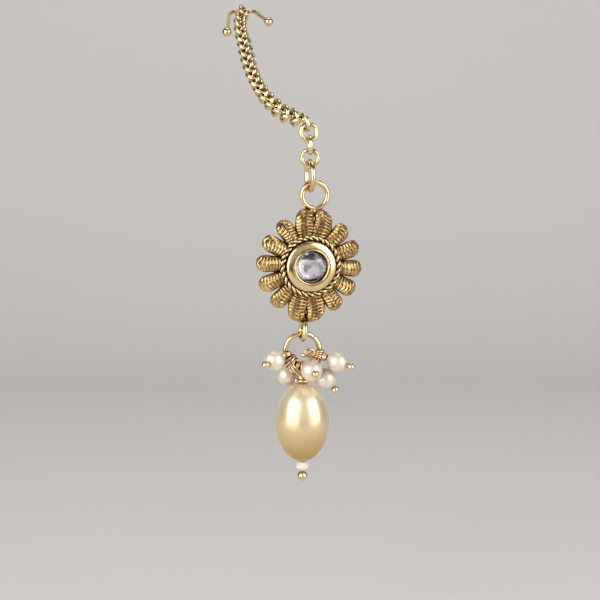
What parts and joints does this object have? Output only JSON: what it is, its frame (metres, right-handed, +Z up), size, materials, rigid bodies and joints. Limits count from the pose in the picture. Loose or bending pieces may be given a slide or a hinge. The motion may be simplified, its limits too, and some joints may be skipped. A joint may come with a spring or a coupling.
{
  "type": "maang tikka",
  "caption": "Forehead jewel: a hair hook and a link chain carry a flower medallion with a round stone, and below it small pearls on a ring and one large pearl drop.",
  "frame": {"origin": "the hook's wire at the middle of its bend, where the jewel is held in the hair", "axes": "+Z up, +Y to the back of the head, so the jewel's face looks along -Y, +X to the viewer's right"},
  "size_m": [0.0335, 0.1027, 0.1051],
  "materials": {
    "gold": "pale antique gold, polished on rings and bezel, textured on petals",
    "pin_gold": "polished warm gold wire",
    "white_pearl": "soft ivory pearl lustre",
    "cream_pearl": "soft champagne pearl lustre",
    "white_bead": "matt white",
    "stone": "clear round stone over silvery foil"
  },
  "bodies": {
    "hook_and_chain": {"hook": "gold", "chain": "gold"},
    "jump_ring": {"jump_ring": "gold"},
    "medallion": {"medallion": "gold", "centre_stone": "stone"},
    "pearl_cluster": {"cluster_ring": "gold", "pearl_left": "white_pearl", "pin_left": "pin_gold", "pearl_lower_left": "white_pearl", "pin_lower_left": "pin_gold", "pearl_front": "white_pearl", "pin_front": "pin_gold", "pearl_lower_right": "white_pearl", "pin_lower_right": "pin_gold", "pearl_right": "white_pearl", "pin_right": "pin_gold"},
    "pearl_drop": {"main_pearl": "cream_pearl", "main_pin": "pin_gold", "tip_bead": "white_bead"}
  },
  "joints": [
    {"name": "jump_ring_swing", "type": "hinge", "parent": "hook_and_chain", "child": "jump_ring", "pos_m": [0.0168, -0.0922, -0.03251], "axis": [0.9744, 0.225, 0], "range_deg": [-40, 40]},
    {"name": "medallion_swing", "type": "hinge", "parent": "jump_ring", "child": "medallion", "pos_m": [0.0168, -0.0922, -0.03779], "axis": [-0.225, 0.9744, 0], "range_deg": [-35, 35]},
    {"name": "cluster_swing", "type": "hinge", "parent": "medallion", "child": "pearl_cluster", "pos_m": [0.01513, -0.09259, -0.07104], "axis": [-0.225, 0.9744, 0], "range_deg": [-35, 35]},
    {"name": "pearl_swing", "type": "hinge", "parent": "pearl_cluster", "child": "pearl_drop", "pos_m": [0.01513, -0.09259, -0.07741], "axis": [0.9744, 0.225, 0], "range_deg": [-12, 4]}
  ]
}
